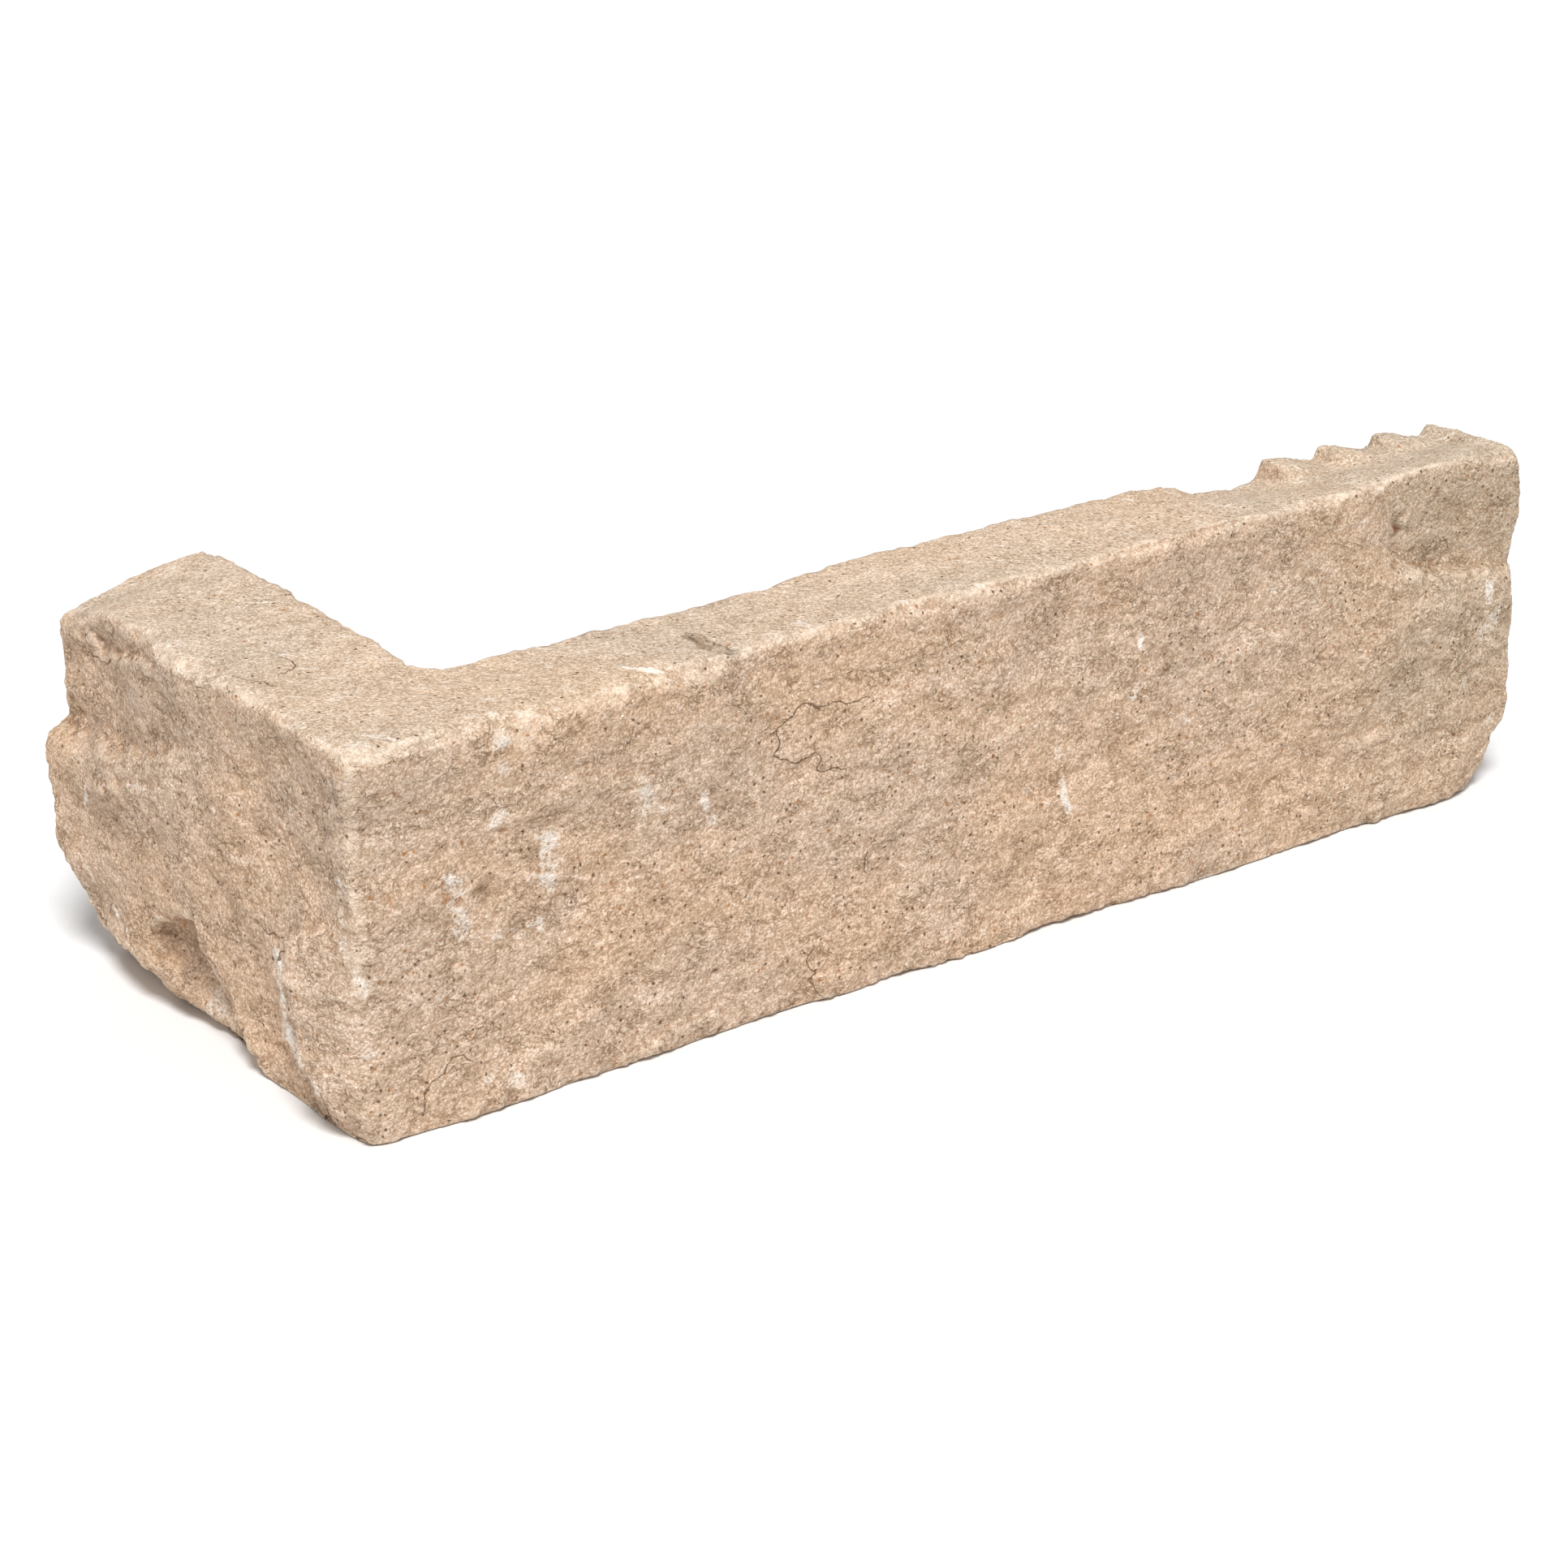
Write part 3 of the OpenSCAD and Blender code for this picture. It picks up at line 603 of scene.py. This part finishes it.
def splitStone(material):
    obj = denseCopy("stone_corner")
    print("dense mesh", len(obj.data.polygons))
    markStone(obj)
    tree, sizes = splitTree()
    grow = obj.modifiers.new("split", "NODES")
    grow.node_group = tree
    for name in (*bumpSize, "round"):
        grow[sizes[name]] = skin[name]
    grow[sizes["material"]] = material
    obj = evaluated(obj, "split")
    triangles = 2 * len(obj.data.polygons)
    thin = obj.modifiers.new("thin", "DECIMATE")
    thin.ratio = min(1.0, skin["faces"] / triangles)
    obj = evaluated(obj, "sandstone_corner")
    print("split skin", len(obj.data.polygons))
    obj.data.polygons.foreach_set("use_smooth", [True] * len(obj.data.polygons))
    return obj


# Stone
stone = {
    "warm": (0.725, 0.518, 0.366, 1),
    "cool": (0.678, 0.510, 0.384, 1),
    "olive": (0.565, 0.440, 0.320, 1),   # towards the far end
    "pale": (0.86, 0.70, 0.545, 1),      # worn edges
    "dust": (0.95, 0.87, 0.78, 1),       # bruises
    "deep": (0.40, 0.235, 0.140, 1),     # painted shade in the hollows
    "rust": (0.40, 0.175, 0.060, 1),
    "shadeAndDirtTint": (0.50, 0.47, 0.44, 1),       # tint of the painted shade, with some dirt, in pits and hollows
    "fleck": (0.15, 0.080, 0.042, 1),
    "sawn": (0.72, 0.54, 0.40, 1),
    "top": (1.02, 1.08, 1.12, 1),        # tint of the smoother top
    # sizes of the patterns, from the broadest to single grains
    "drift": 30 * mm,
    "patch": 7 * mm,
    "mottle": 3.6 * mm,
    "wander": 2.2 * mm,
    "curl": 1.4 * mm,
    "streak": 1.3 * mm,
    "speck": 0.6 * mm,
    "grain": 0.42 * mm,
    "bump": 0.5 * mm,
}


def sandstone():
    mat = bpy.data.materials.new("sandstone")
    mat.use_nodes = True
    tree = mat.node_tree
    tree.nodes.clear()
    place = add(tree, "ShaderNodeTexCoord").outputs["Object"]
    bedded = vector(tree, "MULTIPLY", place, bedding)

    def read(name):
        return add(tree, "ShaderNodeAttribute", attribute_name=name).outputs["Fac"]

    def mix(amount, a, b, blend="MIX"):
        node = add(tree, "ShaderNodeMix", data_type="RGBA", blend_type=blend)
        link(tree, amount, node.inputs["Factor"])
        link(tree, a, node.inputs[6])
        link(tree, b, node.inputs[7])
        return node.outputs[2]

    def shade(amount, colour):
        # dark grains are browner and light ones paler
        grey = add(tree, "ShaderNodeCombineXYZ")
        for socket, power in zip(grey.inputs, (0.92, 1.08, 1.32)):
            link(tree, calc(tree, "POWER", amount, power), socket)
        return mix(1.0, colour, grey.outputs[0], "MULTIPLY")

    def times(a, b):
        return calc(tree, "MULTIPLY", a, b)

    def plus(a, b):
        return calc(tree, "ADD", a, b)

    def most(a, b):
        return calc(tree, "MAXIMUM", a, b)

    # a noise as an unevenness about nothing
    def uneven(noise, strength, middle=0.5):
        return times(calc(tree, "SUBTRACT", noise, middle), strength)

    # distance to the middle of the nearest cell, and its random colour
    def cells(size):
        node = add(tree, "ShaderNodeTexVoronoi")
        link(tree, place, node.inputs["Vector"])
        node.inputs["Scale"].default_value = 1 / size
        split = add(tree, "ShaderNodeSeparateColor")
        link(tree, node.outputs["Color"], split.inputs[0])
        return node.outputs["Distance"], split.outputs

    # broad drifts of warmer and greyer stone
    drift = span(tree, grainNoise(tree, bedded, stone["drift"], 2.5, 0.55, 0.5), 0.38, 0.66)
    colour = mix(drift, stone["cool"], stone["warm"])
    across = add(tree, "ShaderNodeSeparateXYZ")
    link(tree, place, across.inputs[0])
    far = span(tree, across.outputs[0], 45 * mm, 120 * mm, 0.0, 0.85)
    far = times(far, span(tree, drift, 0.0, 1.0, 1.0, 0.6))
    far = times(far, calc(tree, "SUBTRACT", 1.0, times(read("level"), 0.5)))
    colour = mix(far, colour, stone["olive"])
    # mottling a few millimetres across, then the grains themselves
    mottle = grainNoise(tree, bedded, stone["mottle"], 3, 0.62, 0.8)
    rough = calc(tree, "SUBTRACT", plus(1.0, read("shadeAndDirt")), times(read("level"), 0.5))
    spread = times(span(tree, mottle, 0.3, 0.7, -0.16, 0.12), rough)
    colour = shade(plus(1.0, spread), colour)
    speck = grainNoise(tree, place, stone["speck"], 2.5, 0.7, 0.2)
    colour = shade(span(tree, speck, 0.33, 0.67, 0.84, 1.14), colour)
    dome, tone = cells(stone["grain"])
    colour = shade(span(tree, tone[0], 0.0, 1.0, 0.78, 1.16), colour)
    colour = shade(span(tree, dome, 0.35, 0.75, 1.05, 0.80), colour)

    # places on each face in millimetres, as in its dictionary, with a little wander
    parts = add(tree, "ShaderNodeSeparateXYZ")
    fromCorner = vector(tree, "SUBTRACT", place, tuple(corner))
    link(tree, vector(tree, "SCALE", fromCorner, scale=1 / mm), parts.inputs[0])
    u, v, w = parts.outputs
    wander = add(tree, "ShaderNodeTexNoise")
    link(tree, place, wander.inputs["Vector"])
    wander.inputs["Scale"].default_value = 1 / stone["wander"]
    shift = vector(tree, "SUBTRACT", wander.outputs["Color"], (0.5, 0.5, 0.5))
    shift = vector(tree, "MULTIPLY", shift, (2.6, 2.6, 0))

    def seen(face, along, up, depth):
        both = add(tree, "ShaderNodeCombineXYZ")
        for at, share, socket in zip((along, up), face["slide"], both.inputs):
            link(tree, plus(at, times(depth, share)), socket)
        return vector(tree, "ADD", both.outputs[0], shift)

    # distance to a path in millimetres
    def nearPath(at, path):
        best = None
        for a, b in zip(path, path[1:]):
            run = Vector((b[0] - a[0], b[1] - a[1], 0))
            away = vector(tree, "SUBTRACT", at, (a[0], a[1], 0))
            t = vector(tree, "DOT_PRODUCT", away, tuple(run / run.length_squared))
            t = calc(tree, "ADD", t, 0.0, clamp=True)
            foot = vector(tree, "SCALE", tuple(run), scale=t)
            away = vector(tree, "LENGTH", vector(tree, "SUBTRACT", away, foot))
            best = away if best is None else calc(tree, "MINIMUM", best, away)
        return best

    onTop = times(span(tree, w, topFrom, topFrom + topFade), read("level"))
    atFront = [span(tree, depth, faceDepth - faceFade, faceDepth, 1.0, 0.0) for depth in (v, u)]
    faces = (
        (longFace, seen(longFace, u, w, v), atFront[0]),
        (shortFace, seen(shortFace, v, w, u), atFront[1]),
        (topFace, seen(topFace, u, v, calc(tree, "SUBTRACT", w, height)), onTop),
    )
    scuffs = 0.0
    for face, at, here in faces:
        for width, strength, path in face["scuffs"]:
            one = span(tree, nearPath(at, path), 0.2 * width, 1.5 * width, strength, 0.0)
            scuffs = most(times(one, here), scuffs)
    # the groove on the top, drawn as a painted shadow and a dent in the bump
    toGroove = nearPath(faces[2][1], topFace["shadedGroove"])
    shadedGroove = times(span(tree, toGroove, 0.5, 1.5, 1.0, 0.0), onTop)

    # fine curled cracks between clumps of grains, darkened with painted shade
    curl = calc(tree, "SUBTRACT", grainNoise(tree, bedded, stone["curl"], 2, 0.55, 0.7), 0.5)
    shadedCreases = times(span(tree, calc(tree, "ABSOLUTE", curl), 0.012, 0.045, 1.0, 0.0),
                  span(tree, grainNoise(tree, bedded, 3 * stone["curl"], 1, 0.5), 0.46, 0.6))
    shadedCreases = times(shadedCreases, rough)
    colour = shade(span(tree, shadedCreases, 0.0, 1.0, 1.0, 0.70), colour)

    # painted shade darkens the hollows, and standing grains are worn pale
    proud = read("proud")
    colour = mix(span(tree, proud, -0.01, -0.13, 0.0, 0.50), colour, stone["deep"])
    colour = mix(span(tree, proud, 0.02, 0.12, 0.0, 0.30), colour, stone["pale"])
    colour = mix(read("level"), colour, stone["top"], "MULTIPLY")
    worn = span(tree, read("brow"), 0.16, 0.60, 0.0, 0.6)
    worn = times(worn, span(tree, mottle, 0.35, 0.6, 0.35, 1.0))
    patch = span(tree, grainNoise(tree, place, stone["patch"], 2, 0.6, 0.6), 0.42, 0.62, 0.12, 1.0)
    arris = times(times(read("arris"), patch), span(tree, mottle, 0.38, 0.56, 0.2, 1.0))
    worn = most(worn, times(arris, 0.75))
    colour = mix(worn, colour, stone["pale"])
    colour = mix(times(worn, span(tree, speck, 0.5, 0.62, 0.0, 0.65)), colour, stone["dust"])

    # fine pale streaks lie aslant on the top, drawn out along their run
    run = vector(tree, "DOT_PRODUCT", place, (0.81, -0.59, 0))
    aslant = add(tree, "ShaderNodeCombineXYZ")
    link(tree, times(run, 0.28), aslant.inputs[0])
    link(tree, vector(tree, "DOT_PRODUCT", place, (0.59, 0.81, 0)), aslant.inputs[1])
    streaks = grainNoise(tree, aslant.outputs[0], stone["streak"], 2.5, 0.6, 0.3)
    streaks = times(span(tree, streaks, 0.60, 0.72, 0.0, 0.6), read("level"))
    colour = mix(streaks, colour, stone["dust"])

    # bruises, scrapes, rust, and painted shade with some dirt, each broken up by the grain
    stray = span(tree, grainNoise(tree, bedded, 8 * mm, 2, 0.5, 0.4), 0.67, 0.76, 0.0, 0.6)
    bruise = plus(most(read("bruises"), stray), uneven(mottle, 2.2))
    bruise = times(span(tree, bruise, 0.25, 1.0), span(tree, speck, 0.40, 0.60, 0.1, 0.85))
    scuff = plus(scuffs, plus(uneven(speck, 1.2), uneven(mottle, 1.8, 0.52)))
    scuff = span(tree, scuff, 0.2, 0.95, 0.0, 0.95)
    bruise = most(bruise, times(scuff, span(tree, scuffs, 0.0, 0.2)))
    colour = mix(bruise, colour, stone["dust"])
    rust = span(tree, plus(read("rust"), uneven(speck, 1.1)), 0.2, 0.9, 0.0, 0.75)
    colour = mix(times(rust, span(tree, read("rust"), 0.0, 0.2)), colour, stone["rust"])
    # painted shade in pits, hollows, the scoop and under the arris, with some dirt
    shadeAndDirt = plus(read("shadeAndDirt"), plus(uneven(speck, 1.0), uneven(mottle, 1.6)))
    shadeAndDirt = times(span(tree, shadeAndDirt, 0.1, 0.9, 0.0, 0.75), span(tree, read("shadeAndDirt"), 0.0, 0.2))
    colour = mix(most(shadeAndDirt, times(shadedGroove, 0.6)), colour, stone["shadeAndDirtTint"], "MULTIPLY")

    # spots in a random few of the cells, which are size metres across
    def scattered(size, keepOver, radius, soft):
        away, pick = cells(size)
        here = calc(tree, "GREATER_THAN", pick[1], keepOver)
        away = plus(away, uneven(speck, 0.35))
        return times(here, span(tree, away, radius, radius + soft, 1.0, 0.0))

    colour = mix(times(scattered(2.6 * mm, 0.62, 0.07, 0.09), 0.85), colour, stone["rust"])
    flecks = scattered(1.8 * mm, 0.62, 0.09, 0.08)
    colour = mix(times(flecks, 0.85), colour, stone["fleck"])
    colour = mix(times(scattered(2.2 * mm, 0.6, 0.02, 0.13), 0.8), colour, stone["dust"])
    crack = calc(tree, "ABSOLUTE", plus(read("crack"), uneven(speck, 0.5)))
    crack = span(tree, crack, 0.05, 0.16, 1.0, 0.0)
    colour = mix(times(crack, 0.8), colour, stone["fleck"])

    # the sawn backs are plainer and smoother
    sawn = read("sawn")
    colour = mix(times(sawn, 0.45), colour, stone["sawn"])

    fine = times(speck, 0.75)
    for part, rise in ((dome, -0.35), (shadedCreases, -0.35), (mottle, 0.6), (plus(flecks, crack), -0.5),
                       (shadedGroove, -1.6)):
        fine = plus(fine, times(part, rise))
    fine = times(fine, span(tree, sawn, 0.0, 1.0, 1.0, 0.35))
    bump = add(tree, "ShaderNodeBump")
    bump.inputs["Strength"].default_value = 0.9
    bump.inputs["Distance"].default_value = stone["bump"]
    link(tree, fine, bump.inputs["Height"])
    bsdf = add(tree, "ShaderNodeBsdfPrincipled")
    link(tree, colour, bsdf.inputs["Base Color"])
    link(tree, bump.outputs[0], bsdf.inputs["Normal"])
    link(tree, span(tree, mottle, 0.3, 0.7, 0.82, 0.96), bsdf.inputs["Roughness"])
    bsdf.inputs["Specular IOR Level"].default_value = 0.2
    out = add(tree, "ShaderNodeOutputMaterial")
    link(tree, bsdf.outputs[0], out.inputs[0])
    return mat


# Studio
studio = {
    "floor": (0.84, 0.84, 0.84, 1),
    "sky": (1.0, 1.0, 1.0, 1),
    "skyPower": 0.45,
    "floorHalf": 4.0,
    # where the light comes from, its strength and its spread in radians
    "sun": {"side": (-0.26, -0.42, 0.87), "power": 3.0, "spread": 0.30},
}


def addStudio():
    mesh = bpy.data.meshes.new("floor")
    half = studio["floorHalf"]
    rim = [(-half, -half, 0), (half, -half, 0), (half, half, 0), (-half, half, 0)]
    mesh.from_pydata(rim, [], [(0, 1, 2, 3)])
    floor = bpy.data.objects.new("floor", mesh)
    bpy.context.collection.objects.link(floor)
    mat = bpy.data.materials.new("floor")
    mat.use_nodes = True
    bsdf = mat.node_tree.nodes["Principled BSDF"]
    bsdf.inputs["Base Color"].default_value = studio["floor"]
    bsdf.inputs["Roughness"].default_value = 0.9
    mesh.materials.append(mat)
    world = bpy.data.worlds.new("studio")
    bpy.context.scene.world = world
    bpy.context.scene.view_settings.view_transform = "Standard"
    world.use_nodes = True
    back = world.node_tree.nodes["Background"]
    back.inputs["Color"].default_value = studio["sky"]
    back.inputs["Strength"].default_value = studio["skyPower"]
    sun = studio["sun"]
    data = bpy.data.lights.new("key", "SUN")
    data.energy = sun["power"]
    data.angle = sun["spread"]
    lamp = bpy.data.objects.new("key", data)
    lamp.location = sun["side"]
    lamp.rotation_euler = Vector(sun["side"]).to_track_quat("Z", "Y").to_euler()
    bpy.context.collection.objects.link(lamp)


addCamera()
print("camera")
piece = splitStone(sandstone())
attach(piece, "root")
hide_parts("stone_corner")
print("stone")
addStudio()
print("studio")
